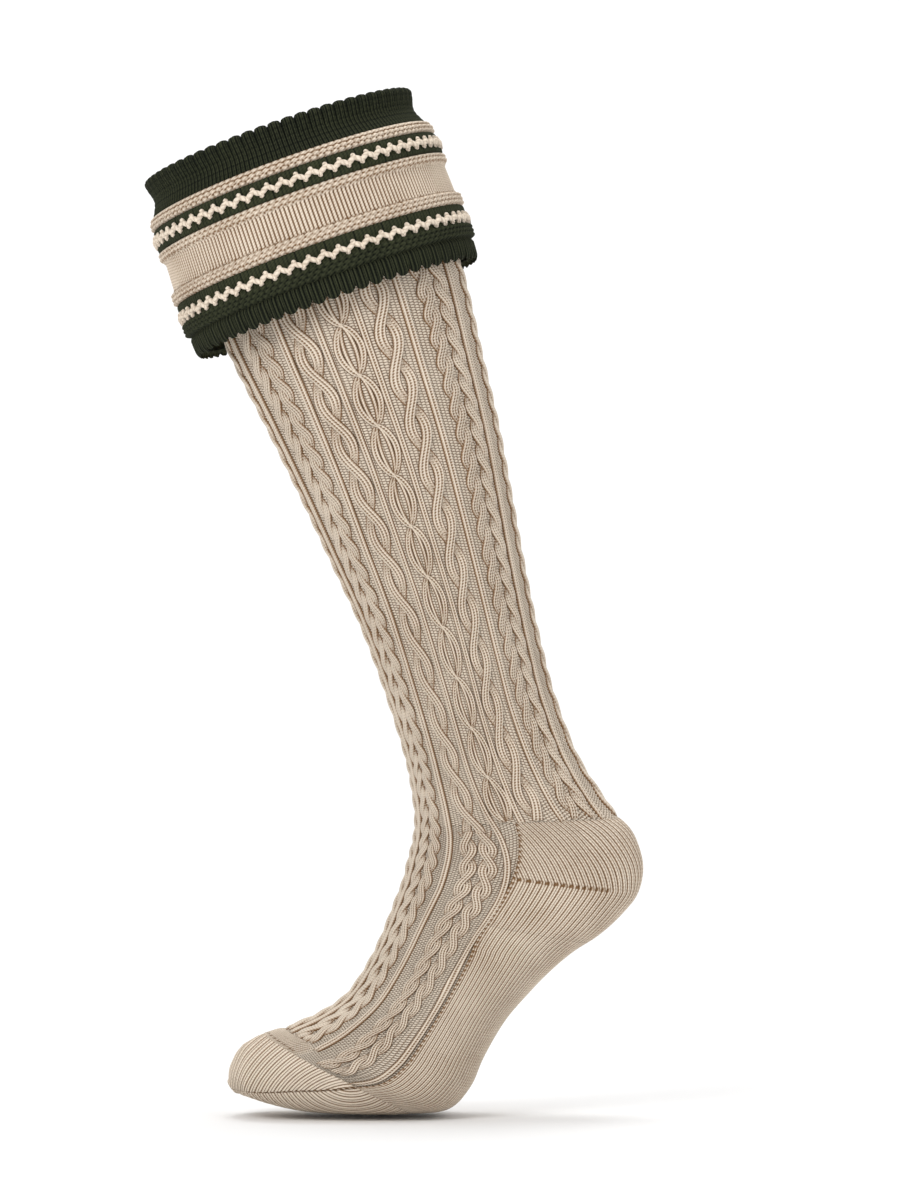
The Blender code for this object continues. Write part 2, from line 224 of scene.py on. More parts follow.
# Foot sections: instep point and sole point, forward of and below the ankle's centre, as shares of
# FOOT_LENGTH; width as shares of HEEL_WIDTH and BALL_WIDTH; squareness of the sole's half
FOOT_ROWS = (
    # instep forward, down, sole forward, down, of heel, of ball, square
    (0.166, 0.136, -0.198, 0.076, 1.07, 0.00, 2.1),
    (0.158, 0.202, -0.254, 0.163, 1.07, 0.00, 2.1),
    (0.162, 0.249, -0.318, 0.249, 1.04, 0.00, 2.2),
    (0.168, 0.275, -0.333, 0.309, 1.02, 0.00, 2.3),
    (0.175, 0.301, -0.322, 0.365, 1.00, 0.00, 2.3),
    (0.183, 0.335, -0.288, 0.410, 0.98, 0.00, 2.3),
    (0.196, 0.369, -0.241, 0.453, 0.97, 0.00, 2.4),
    (0.213, 0.414, -0.183, 0.491, 0.97, 0.00, 2.4),
    (0.235, 0.468, -0.130, 0.536, 0.78, 0.16, 2.4),
    (0.260, 0.517, -0.080, 0.588, 0.56, 0.36, 2.4),
    (0.299, 0.575, -0.037, 0.639, 0.40, 0.54, 2.4),
    (0.355, 0.617, 0.010, 0.720, 0.16, 0.79, 2.5),
    (0.402, 0.639, 0.037, 0.780, 0.00, 0.97, 2.5),
    (0.445, 0.654, 0.080, 0.825, 0.00, 1.00, 2.5),
    (0.483, 0.667, 0.162, 0.836, 0.00, 1.00, 2.5),
    (0.509, 0.680, 0.247, 0.838, 0.00, 0.97, 2.5),
    (0.528, 0.693, 0.329, 0.836, 0.00, 0.90, 2.4),
    (0.543, 0.714, 0.402, 0.830, 0.00, 0.79, 2.3),
    (0.554, 0.742, 0.470, 0.815, 0.00, 0.60, 2.2),
    (0.556, 0.765, 0.535, 0.795, 0.00, 0.30, 2.1),
)

# Places along the foot, as shares of the run from the ankle's centre to the tip of the toes
HEEL_LINE = 0.19
SOLE_LINE = 0.40
TOE_LINE = 0.80

# Line between instep and sole: place along the same run, degrees round from the instep's middle
SIDE_LINE = (
    (0.19, 88.0),
    (0.27, 85.0),
    (0.35, 85.0),
    (0.41, 87.5),
    (0.48, 91.5),
    (0.54, 94.5),
    (0.61, 97.5),
    (0.68, 99.0),
    (0.76, 99.0),
    (0.81, 98.5),
)

# Fullness of the cuff's surface: place as a share of CUFF_LENGTH, size as a share of its greatest
CUFF_ROWS = (
    (0.00, 0.912),
    (0.08, 0.892),
    (0.17, 0.933),
    (0.25, 0.955),
    (0.45, 0.965),
    (0.64, 0.973),
    (0.80, 0.973),
    (1.00, 0.966),
)

# Bands between the two scalloped ones: outer profile as a share of CUFF_LENGTH and of ROLL_RELIEF
BAND_ROWS = {
    "cuff_upper_roll": ((0.167, 0.0), (0.180, 0.8), (0.2045, 1.0), (0.229, 0.8), (0.242, 0.0)),
    "cuff_upper_stripe": ((0.242, 0.0), (0.252, 0.4), (0.274, 0.4), (0.282, 0.1), (0.305, 0.6),
                          (0.328, 0.1), (0.336, 0.4), (0.358, 0.4), (0.367, 0.0)),
    "cuff_middle_band": ((0.367, 0.0), (0.378, 0.8), (0.415, 0.8), (0.426, 0.0), (0.440, -0.4),
                         (0.590, -0.4), (0.604, 0.0), (0.617, 0.9), (0.667, 0.9), (0.680, 0.0)),
    "cuff_lower_stripe": ((0.680, 0.0), (0.690, 0.4), (0.722, 0.4), (0.731, 0.1), (0.760, 0.6),
                          (0.789, 0.1), (0.803, 0.9), (0.858, 0.9), (0.875, -0.5)),
}

# Places down the cuff where bands, rolls and the ribbed valley start and end, of the middles of the
# zigzags and of the hollows beside them
TOP_BAND_END = 0.167
UPPER_ROLL_END = 0.242
UPPER_STRIPE_END = 0.367
VALLEY_START = 0.430
VALLEY_END = 0.600
LOWER_ROLL_START = 0.604
MIDDLE_BAND_END = 0.680
PURL_ROLL_START = 0.795
EDGE_BAND_START = 0.875
UPPER_ZIGZAG = 0.305
LOWER_ZIGZAG = 0.760
ZIGZAG_HALF = 0.028
UPPER_HOLLOW = 0.282
LOWER_HOLLOW = 0.731

# Middles of the knitted columns in degrees from the front, at stations in metres
COLUMN_STATIONS = (0.00, 0.10, 0.17, 0.23, 0.30, 0.36, 0.41, 0.46, 0.50, 0.56)
COLUMN_ANGLES = {
    "front": (0.0,) * 10,
    "rib_a": (21.0, 21.0, 20.5, 20.0, 18.0, 17.0, 17.0, 18.5, 20.0, 21.0),
    "chain_front": (38.5, 38.5, 37.8, 35.5, 32.5, 31.0, 31.0, 33.0, 35.5, 37.0),
    "rib_b": (55.0, 55.0, 53.5, 51.0, 48.2, 47.5, 48.0, 51.0, 54.0, 55.0),
    "wave_front": (65.0, 65.0, 64.4, 63.2, 61.5, 61.5, 66.5, 71.5, 75.5, 78.0),
    "thin_front": (74.3, 74.3, 74.0, 73.3, 72.6, 73.0, 82.2, 89.0, 94.8, 96.0),
    "middle": (85.3, 85.3, 84.8, 84.2, 83.6, 83.6, 84.0, 85.0, 86.0, 87.0),
    "thin_back": (94.3, 94.3, 94.3, 94.3, 93.9, 92.2, 91.0, 91.0, 91.0, 91.0),
    "wave_back": (105.2, 105.2, 105.0, 104.4, 103.2, 101.6, 100.0, 100.0, 100.0, 100.0),
    "rib_c": (117.2, 117.2, 117.2, 117.2, 116.4, 115.0, 114.0, 114.0, 114.0, 114.0),
    "chain_back": (136.5, 136.5, 136.3, 134.5, 133.0, 131.2, 130.0, 130.0, 130.0, 130.0),
    "rib_e": (151.5, 151.5, 151.0, 149.8, 148.0, 146.0, 145.0, 145.0, 145.0, 145.0),
    "back": (170.0,) * 10,
}

# Wool colour on its crests, and the painted shade that darkens its gaps, grooves and creases
BEIGE_LIGHT = (0.785, 0.682, 0.560)
BEIGE_SHADED = (0.20, 0.11, 0.05)
GREEN_LIGHT = (0.036, 0.041, 0.019)
GREEN_SHADED = (0.003, 0.005, 0.002)

# A place inside a stitch, for faces that show no stitches
IN_STITCH = 0.24

# Camera: where the picture's middle lies in the sock's plane, how high the eye is, how far away
PICTURE_MIDDLE = Vector((0.0885, 0.0, -0.240))
PICTURE_HEIGHT = 0.630
CAMERA_DISTANCE = 2.6
CAMERA_HEIGHT = -0.293
SENSOR = 36.0

FLOOR_HEIGHT = CAD_BOUNDS[0][2] - 0.0015


def unit(vectors):
    return vectors / np.linalg.norm(vectors, axis=-1, keepdims=True)


DOWN_LEG = np.array([math.sin(LEG_LEAN), 0.0, -math.cos(LEG_LEAN)])
TO_BACK = np.array([math.cos(LEG_LEAN), 0.0, math.sin(LEG_LEAN)])
SIDEWAYS = np.array([0.0, -1.0, 0.0])
FORWARD = np.array([-1.0, 0.0, 0.0])
BELOW = np.array([0.0, 0.0, -1.0])


def read_table(places, values, at):
    """Read a table at many places at once, with a smooth curve through its rows."""
    places = np.asarray(places, dtype=float)
    values = np.asarray(values, dtype=float)
    at = np.asarray(at, dtype=float)
    slopes = np.gradient(values, places, axis=0)
    row = np.clip(np.searchsorted(places, at) - 1, 0, len(places) - 2)
    step = places[row + 1] - places[row]
    u = (at - places[row]) / step
    if values.ndim > 1:
        step = step[..., None]
        u = u[..., None]
    keep_start = 2 * u ** 3 - 3 * u ** 2 + 1
    bend_start = (u ** 3 - 2 * u ** 2 + u) * step
    bend_end = (u ** 3 - u ** 2) * step
    return (keep_start * values[row] + (1 - keep_start) * values[row + 1]
            + bend_start * slopes[row] + bend_end * slopes[row + 1])


def leg_sections():
    sections = []
    for down, front, back, side in LEG_ROWS:
        centre = DOWN_LEG * down * LEG_LENGTH
        front_half = (ANKLE_DEPTH + front * (CALF_DEPTH - ANKLE_DEPTH)) / 2
        back_half = (ANKLE_DEPTH + back * (CALF_DEPTH - ANKLE_DEPTH)) / 2
        half_width = (ANKLE_WIDTH + side * (CALF_WIDTH - ANKLE_WIDTH)) / 2
        sections.append((down * LEG_LENGTH, centre - TO_BACK * front_half,
                         centre + TO_BACK * back_half, half_width, 2.0))
    return sections


def foot_sections():
    ankle = DOWN_LEG * LEG_LENGTH
    station, front, back = leg_sections()[-1][:3]
    middle = (front + back) / 2
    sections = []
    for row in FOOT_ROWS:
        instep_forward, instep_down, sole_forward, sole_down, of_heel, of_ball, square = row
        front = ankle + (FORWARD * instep_forward + BELOW * instep_down) * FOOT_LENGTH
        back = ankle + (FORWARD * sole_forward + BELOW * sole_down) * FOOT_LENGTH
        half_width = (of_heel * HEEL_WIDTH + of_ball * BALL_WIDTH) / 2
        station = station + np.linalg.norm((front + back) / 2 - middle)
        middle = (front + back) / 2
        sections.append((station, front, back, half_width, square))
    return sections


SECTIONS = leg_sections() + foot_sections()
STATIONS = np.array([section[0] for section in SECTIONS])
SECTION_VALUES = np.array([[*section[1], *section[2], section[3], section[4]] for section in SECTIONS])
TIP_STATION = STATIONS[-1]
FOOT_RUN = TIP_STATION - LEG_LENGTH
HEEL_STATION = LEG_LENGTH + HEEL_LINE * FOOT_RUN
SOLE_STATION = LEG_LENGTH + SOLE_LINE * FOOT_RUN
TOE_STATION = LEG_LENGTH + TOE_LINE * FOOT_RUN


def surface(station, angle):
    """Points of the knitted surface."""
    station, angle = np.broadcast_arrays(np.asarray(station, float), np.asarray(angle, float))
    values = read_table(STATIONS, SECTION_VALUES, station)
    front = values[..., 0:3]
    back = values[..., 3:6]
    half_width = values[..., 6:7]
    lengthways = np.cos(angle)
    crossways = np.sin(angle)
    power = np.where(lengthways < 0, 2 / values[..., 7], 1.0)
    lengthways = (np.sign(lengthways) * np.abs(lengthways) ** power)[..., None]
    crossways = (np.sign(crossways) * np.abs(crossways) ** power)[..., None]
    return (front + back) / 2 + (front - back) / 2 * lengthways + SIDEWAYS * half_width * crossways


def surface_normal(station, angle):
    step = 0.0005
    turn = 0.01
    ahead = np.minimum(station + step, TIP_STATION)
    along = surface(ahead, angle) - surface(station - step, angle)
    across = surface(station, angle + turn) - surface(station, angle - turn)
    return unit(np.cross(along, across))


def knit_point(station, angle, depth):
    station, angle, depth = np.broadcast_arrays(station, angle, depth)
    return surface(station, angle) - surface_normal(station, angle) * depth[..., None]


def side_angle(station):
    """Angle of the line between instep and sole."""
    places, angles = zip(*SIDE_LINE)
    place = np.clip((np.asarray(station, float) - LEG_LENGTH) / FOOT_RUN, places[0], places[-1])
    return np.radians(read_table(places, angles, place))


def column_angle(name, station):
    """Angle of the middle of a knitted column, on the near side."""
    return np.radians(read_table(COLUMN_STATIONS, COLUMN_ANGLES[name], station))


def cuff_point(down, angle, out):
    """Points of the cuff, outside its surface by a distance; down is a share of CUFF_LENGTH."""
    down, angle, out = np.broadcast_arrays(np.asarray(down, float), angle, out)
    places, sizes = zip(*CUFF_ROWS)
    fullness = read_table(places, sizes, down)
    half_depth = (CUFF_DEPTH / 2 * fullness + out)[..., None]
    half_width = (CUFF_WIDTH / 2 * fullness + out)[..., None]
    return (DOWN_LEG * (down * CUFF_LENGTH)[..., None]
            - TO_BACK * (CUFF_FORWARD + half_depth * np.cos(angle)[..., None])
            + SIDEWAYS * half_width * np.sin(angle)[..., None])


class MeshParts:
    """Collects closed shells, with stitch coordinates and shade, into one mesh."""

    def __init__(self):
        self.points = []
        self.shades = []
        self.faces = []
        self.count = 0
        self.shell_start = 0

    def add_points(self, points, shade):
        start = self.count
        flat = points.reshape(-1, 3)
        self.points.append(flat)
        self.shades.append(np.broadcast_to(shade, points.shape[:-1]).reshape(-1))
        self.count += len(flat)
        return start

    def add_face(self, corners):
        self.faces.append((np.array([corners]), np.full((1, len(corners), 2), IN_STITCH)))

    def add_grid(self, points, u, v, shade=0.0, closed=False, turn=0.0, back=False):
        """Quads over rows and columns of points; closed joins the last column to the first."""
        rows, columns = points.shape[:2]
        start = self.add_points(points, shade)
        row = np.arange(rows - 1)
        column = np.arange(columns if closed else columns - 1)
        row, column = np.meshgrid(row, column, indexing="ij")
        corners = []
        coordinates = []
        for down, right in ((0, 0), (0, 1), (1, 1), (1, 0)):
            r = row + down
            c = (column + right) % columns
            corners.append(start + r * columns + c)
            turned = (column + right) // columns * turn
            coordinates.append(np.stack([u[r, c] + turned, v[r, c]], axis=-1))
        corners = np.stack(corners, axis=-1).reshape(-1, 4)
        coordinates = np.stack(coordinates, axis=2).reshape(-1, 4, 2)
        if back:
            corners = corners[:, ::-1]
            coordinates = coordinates[:, ::-1]
        self.faces.append((corners, coordinates))
        return start

    def end_shell(self):
        """Turn the faces of the shell just added outwards."""
        points = np.concatenate(self.points)
        volume = 0.0
        for corners, _ in self.faces[self.shell_start:]:
            for i in range(1, corners.shape[1] - 1):
                a, b, c = (points[corners[:, k]] for k in (0, i, i + 1))
                volume += np.einsum("ij,ij->", a, np.cross(b, c))
        if volume < 0:
            turned = [(c[:, ::-1], uv[:, ::-1]) for c, uv in self.faces[self.shell_start:]]
            self.faces[self.shell_start:] = turned
        self.shell_start = len(self.faces)
        self.points = [points]

    def add_tube(self, points, u, v, shade=0.0):
        """Strand: each row of points is a ring; the ends are flat."""
        rows, columns = points.shape[:2]
        start = self.add_grid(points, u, v, shade, closed=True)
        self.add_face([start + column for column in reversed(range(columns))])
        self.add_face([start + (rows - 1) * columns + column for column in range(columns)])
        self.end_shell()

    def add_loop(self, points, u, v, shade=0.0):
        """Cord that runs round and meets itself; each row of points is a ring."""
        rows, columns = points.shape[:2]
        start = self.add_grid(points, u, v, shade, closed=True)
        for column in range(columns):
            after = (column + 1) % columns
            last = start + (rows - 1) * columns
            self.add_face([last + column, last + after, start + after, start + column])
        self.end_shell()

    def bridge(self, outer, inner, forward, closed=False):
        """Faces between an edge of a fine skin and the same edge of a coarser one."""
        if closed:
            outer = np.append(outer, outer[0])
            inner = np.append(inner, inner[0])
        coarse = (len(outer) - 1) // (len(inner) - 1)
        for span in range(len(inner) - 1):
            edge = outer[span * coarse:(span + 1) * coarse + 1]
            face = [*edge, inner[span + 1], inner[span]]
            self.add_face(face if forward else face[::-1])

    def add_wall(self, outer, inner, u, v, shade=0.0, closed=False, turn=0.0):
        """Fine outer skin, inner skin with fewer points, and faces that join their edges."""
        start = self.add_grid(outer, u, v, shade, closed, turn)
        blank = np.full(inner.shape[:2], IN_STITCH)
        inner_start = self.add_grid(inner, blank, blank, 0.0, closed, back=True)
        fine = start + np.arange(outer[..., 0].size).reshape(outer.shape[:2])
        rough = inner_start + np.arange(blank.size).reshape(blank.shape)
        for row, forward in ((0, True), (-1, False)):
            self.bridge(fine[row], rough[row], forward, closed)
        if not closed:
            for column, forward in ((0, False), (-1, True)):
                self.bridge(fine[:, column], rough[:, column], forward)
        self.end_shell()

    def add_dome(self, outer, inner, u, v, shade):
        """Wall closed at its last row, open at its first."""
        columns = outer.shape[1]
        inner_columns = inner.shape[1]
        start = self.add_grid(outer, u, v, shade, closed=True)
        blank = np.full(inner.shape[:2], IN_STITCH)
        inner_start = self.add_grid(inner, blank, blank, 0.0, closed=True, back=True)
        self.bridge(start + np.arange(columns), inner_start + np.arange(inner_columns), True, closed=True)
        tip = start + (outer.shape[0] - 1) * columns
        self.add_face([tip + column for column in range(columns)])
        tip = inner_start + (inner.shape[0] - 1) * inner_columns
        self.add_face([tip + column for column in reversed(range(inner_columns))])
        self.end_shell()

    def build(self, name, material, slot, *nodes):
        points = np.concatenate(self.points)
        totals = np.concatenate([np.full(len(c), c.shape[1]) for c, uv in self.faces])
        corners = np.concatenate([c.reshape(-1) for c, uv in self.faces])
        coordinates = np.concatenate([uv.reshape(-1, 2) for c, uv in self.faces])
        mesh = bpy.data.meshes.new(name)
        mesh.vertices.add(len(points))
        mesh.vertices.foreach_set("co", points.astype(np.float32).ravel())
        mesh.loops.add(len(corners))
        mesh.loops.foreach_set("vertex_index", corners.astype(np.int32))
        mesh.polygons.add(len(totals))
        mesh.polygons.foreach_set("loop_start", (np.cumsum(totals) - totals).astype(np.int32))
        mesh.polygons.foreach_set("loop_total", totals.astype(np.int32))
        mesh.update(calc_edges=True)
        knit = mesh.uv_layers.new(name="knit")
        knit.data.foreach_set("uv", coordinates.astype(np.float32).ravel())
        shade = mesh.attributes.new("shade", "FLOAT", "POINT")
        shade.data.foreach_set("value", np.concatenate(self.shades).astype(np.float32))
        mesh.shade_smooth()
        mesh.materials.append(material)
        piece = bpy.data.objects.new(name, mesh)
        bpy.context.scene.collection.objects.link(piece)
        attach(piece, "root")
        if nodes:
            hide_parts(*nodes)
        return piece


class Wool:
    """Material of one yarn, with its stitches as bump and as painted shade in their gaps."""

    def __init__(self, name, light, dark):
        self.material = bpy.data.materials.new(name)
        self.material.use_nodes = True
        self.tree = self.material.node_tree
        self.surface = self.tree.nodes["Principled BSDF"]
        self.surface.inputs["Roughness"].default_value = 0.92
        self.surface.inputs["Specular IOR Level"].default_value = 0.2
        self.surface.inputs["Sheen Weight"].default_value = 0.04
        self.surface.inputs["Sheen Roughness"].default_value = 0.5
        self.surface.inputs["Sheen Tint"].default_value = (*light, 1.0)
        self.light = light
        # dark is the colour of the painted shade in gaps, grooves and creases
        self.dark = dark
        coordinates = self.node("ShaderNodeUVMap", uv_map="knit")
        split = self.node("ShaderNodeSeparateXYZ")
        self.join(coordinates.outputs["UV"], split.inputs["Vector"])
        self.u = split.outputs["X"]
        self.v = split.outputs["Y"]
        self.place = self.node("ShaderNodeTexCoord").outputs["Object"]
        self.shade = self.node("ShaderNodeAttribute", attribute_name="shade").outputs["Fac"]

    def node(self, kind, **settings):
        node = self.tree.nodes.new(kind)
        for key, value in settings.items():
            setattr(node, key, value)
        return node

    def join(self, source, target):
        self.tree.links.new(source, target)

    def calc(self, operation, *values):
        node = self.node("ShaderNodeMath", operation=operation)
        for value, socket in zip(values, node.inputs):
            if isinstance(value, (int, float)):
                socket.default_value = value
            else:
                self.join(value, socket)
        return node.outputs[0]

    def times(self, first, second):
        return self.calc("MULTIPLY", first, second)

    def plus(self, first, second):
        return self.calc("ADD", first, second)

    def arch(self, value):
        """0 at whole numbers, 1 half way between them."""
        part = self.calc("FRACT", value)
        return self.times(self.times(part, 4.0), self.calc("SUBTRACT", 1.0, part))

    def noise(self, scale, detail=2.0):
        node = self.node("ShaderNodeTexNoise")
        node.inputs["Scale"].default_value = scale
        node.inputs["Detail"].default_value = detail
        self.join(self.place, node.inputs["Vector"])
        return node.outputs["Fac"]

    def plain_stitches(self):
        """Height of V-shaped stitches, two slanted legs to a wale."""
        halfway = self.calc("PINGPONG", self.u, 0.5)
        leg = self.arch(self.times(halfway, 2.0))
        slant = self.plus(self.v, self.times(halfway, 1.1))
        loop = self.plus(self.times(self.arch(slant), 0.25), 0.75)
        return self.times(self.calc("POWER", leg, 0.7), loop)

    def purl_stitches(self):
        """Height of purl bumps, in rows set half a stitch apart."""
        bump = self.arch(self.u)
        odd = self.times(self.calc("FLOOR", self.u), 0.5)
        row = self.arch(self.plus(self.v, odd))
        return self.times(self.calc("POWER", bump, 0.5), self.calc("POWER", row, 0.6))

    def grooves(self):
        """Painted shade in the grooves between wales, darker in a dot in each stitch."""
        wave = self.calc("COSINE", self.times(self.v, 2 * math.pi))
        beat = self.plus(self.times(wave, 0.35), 0.75)
        groove = self.calc("POWER", self.calc("SUBTRACT", 1.0, self.arch(self.u)), 0.65)
        return self.calc("MAXIMUM", self.times(groove, beat), self.shade)

    def finish(self, height, depth, shade=None):
        fibre = self.noise(2600.0)
        tone = self.noise(45.0, 4.0)
        shade = shade or self.shade
        # Painted shade: low stitch height and the shade attribute darken the colour towards the shaded
        # colour
        lit = self.calc("SUBTRACT", height, self.times(shade, 1.4))
        lit = self.plus(lit, self.times(self.calc("SUBTRACT", fibre, 0.5), 0.5))
        lit = self.plus(lit, self.times(self.calc("SUBTRACT", tone, 0.5), 0.35))
        ramp = self.node("ShaderNodeValToRGB")
        ramp.color_ramp.elements[0].position = 0.05
        ramp.color_ramp.elements[0].color = (*self.dark, 1.0)
        ramp.color_ramp.elements[1].position = 0.85
        ramp.color_ramp.elements[1].color = (*self.light, 1.0)
        self.join(lit, ramp.inputs["Fac"])
        self.join(ramp.outputs["Color"], self.surface.inputs["Base Color"])
        rough = self.plus(height, self.times(fibre, 0.35))
        bump = self.node("ShaderNodeBump")
        bump.inputs["Strength"].default_value = 0.9
        bump.inputs["Distance"].default_value = depth
        self.join(rough, bump.inputs["Height"])
        self.join(bump.outputs["Normal"], self.surface.inputs["Normal"])
        return self.material


def plain_wool(name, light, dark):
    wool = Wool(name, light, dark)
    return wool.finish(wool.plain_stitches(), 0.0006)


def cable_wool(name, light, dark):
    """Raised wales, each a smooth cord with slanted stitches and a groove beside it darkened with dotted
    painted shade.
    """
    wool = Wool(name, light, dark)
    slant = wool.arch(wool.plus(wool.v, wool.times(wool.u, 0.8)))
    height = wool.plus(wool.times(slant, 0.3), 0.75)
    return wool.finish(height, 0.0003, wool.grooves())


def purl_wool(name, light, dark):
    wool = Wool(name, light, dark)
    return wool.finish(wool.purl_stitches(), 0.0008)


def yarn_wool(name, light, dark):
    """Yarn whose loops are in the mesh itself, with twisted plies as bump and as painted shade between
    them.
    """
    wool = Wool(name, light, dark)
    plies = wool.arch(wool.plus(wool.u, wool.v))
    return wool.finish(wool.plus(wool.times(plies, 0.35), 0.5), 0.0003)


def coarse_grid(step, *grids):
    return [grid[::step, ::step] for grid in grids]


def wall_rows(start, end, step):
    return np.linspace(start, end, WALL_COARSE * round((end - start) / step / WALL_COARSE) + 1)


def ground_patch(name, material, node, start, end, angles, turn=0.0):
    """Purl ground over stations from start to end; angles(station) spreads the columns."""
    station = wall_rows(start, end, STITCH / 2)
    angle = angles(station)
    rows, columns = angle.shape
    station = station[:, None] * np.ones(columns)
    row, column = np.meshgrid(np.arange(rows), np.arange(columns), indexing="ij")
    bump = np.cos(math.pi * (row + column))
    outer = knit_point(station, angle, GROUND_DEPTH - PURL_BUMP * bump)
    inner = knit_point(*coarse_grid(WALL_COARSE, station, angle), np.array(CABLE_RELIEF + CABLE_WALL))
    parts = MeshParts()
    # Painted shade in the hollows between purl bumps, and a little painted light on their tops
    shade = GROUND_SHADE - PURL_SHADE * bump
    parts.add_wall(outer, inner, column + 0.5, row / 2 + 0.5, shade, turn > 0, turn)
    parts.build(name, material, "beige_wool", node)


def add_leg_ground(material):
    turns = np.arange(LEG_COLUMNS) / LEG_COLUMNS * 2 * math.pi
    ground_patch("leg_ground", material, "leg", TURN_DEPTH, HEEL_STATION,
                 lambda station: np.ones(len(station))[:, None] * turns, LEG_COLUMNS)


def add_instep_ground(material):
    share = np.linspace(-1, 1, INSTEP_COLUMNS + 1)
    ground_patch("instep_ground", material, "instep", HEEL_STATION, TOE_STATION,
                 lambda station: side_angle(station)[:, None] * share)


def arch(value):
    """0 at whole numbers, 1 half way between them."""
    part = np.mod(value, 1.0)
    return 4 * part * (1 - part)


def ridge_depth(wales):
    """Depth of plain knitting, whose wales stand up as ridges."""
    return WALE_RIDGE * (1 - np.sqrt(arch(wales)))


def row_of_marks(station, angle, place, start, end, count):
    """1 in small marks along a course of stitches on both sides, 0 away from them."""
    turned = np.degrees(np.abs(np.mod(angle + math.pi, 2 * math.pi) - math.pi))
    pitch = (end - start) / (count - 1)
    nearest = np.clip(np.round((turned - start) / pitch), 0, count - 1)
    across = (turned - start - nearest * pitch) / (0.30 * pitch)
    along = (station - place) / MARK_LENGTH
    return np.exp(-across ** 2 - along ** 2)


def plain_patch(name, material, node, stations, low, high, gap_shade,
                holes=0.0, start_depth=0.0, side_depth=0.0):
    """Plain knitting between two angles, with painted shade between its wales and a row of holes along
    each of its sides, dented and darkened with painted shade.

    Its first courses and its sides start deeper by start_depth and side_depth."""
    station = stations[:, None]
    share = np.linspace(0, 1, PLAIN_COLUMNS + 1)
    angle = low(station) + (high(station) - low(station)) * share
    station = station * np.ones_like(angle)
    from_back = np.abs(np.mod(angle, 2 * math.pi) - math.pi)
    ring = surface(station, angle)
    steps = np.linalg.norm(np.diff(ring, axis=1), axis=-1)
    run = np.concatenate([np.zeros((len(ring), 1)), np.cumsum(steps, axis=1)], axis=1)
    aside = np.abs(run / run[:, -1:] - 0.5) * 2
    fade = 0.35 + 0.65 * np.clip(from_back / HEEL_FADE, 0, 1)
    slant = HEEL_SLANT * np.minimum(station - HEEL_MARKS_STATION, 0) * fade
    wales = aside * PLAIN_WALES + slant
    # Painted shade in the dented marks and holes
    dark = np.zeros_like(angle)
    for place, first, last, count, darkness in MARK_ROWS:
        dark = np.maximum(dark, darkness * row_of_marks(station, angle, place, first, last, count))
    odd = 0.5 - 0.5 * np.cos(2 * math.pi * station / (2 * STITCH))
    hole_shade = odd * np.exp(-(np.minimum(share, 1 - share) * PLAIN_COLUMNS / HOLE_COLUMNS) ** 2)
    dark = np.maximum(dark, holes * hole_shade)
    from_start = (station - stations[0]) / FIRST_COURSES
    from_side = np.minimum(share, 1 - share) / SIDE_COURSES_SHARE
    low_start = start_depth * np.clip(1 - from_start, 0, 1) ** 2
    low_sides = side_depth * np.clip(1 - from_side, 0, 1) ** 2
    outer = knit_point(station, angle, ridge_depth(wales) + MARK_DEPTH * dark + low_start + low_sides)
    inner = knit_point(*coarse_grid(WALL_COARSE, station, angle), np.array(PLAIN_WALL))
    # Painted shade in the gaps between wales, and in the marks and holes
    shade = np.maximum(dark, gap_shade * (1 - arch(wales)))
    parts = MeshParts()
    parts.add_wall(outer, inner, wales, station / STITCH, shade)
    parts.build(name, material, "beige_wool", node)


def add_plain_knitting(material):
    """Heel, sole, and the plain courses between the cables and the toe."""
    def underfoot_end(station):
        return 2 * math.pi - side_angle(station)

    plain_patch("heel_knit", material, "heel", wall_rows(HEEL_STATION, SOLE_STATION, STITCH / 2),
                side_angle, underfoot_end, HEEL_GAP_SHADE, HOLE_SHADE, HEEL_START_DEPTH)
    plain_patch("sole_knit", material, "sole", wall_rows(SOLE_STATION, TOE_STATION, STITCH / 2),
                side_angle, underfoot_end, SOLE_GAP_SHADE, HOLE_SHADE)
    plain_patch("toe_courses", material, "instep", wall_rows(CABLE_END, TOE_STATION, STITCH / 2),
                lambda station: np.full_like(station, -TOE_COURSES_EDGE),
                lambda station: np.full_like(station, TOE_COURSES_EDGE), TOE_COURSES_SHADE,
                start_depth=TOE_COURSES_DEPTH, side_depth=TOE_COURSES_SIDE_DEPTH)


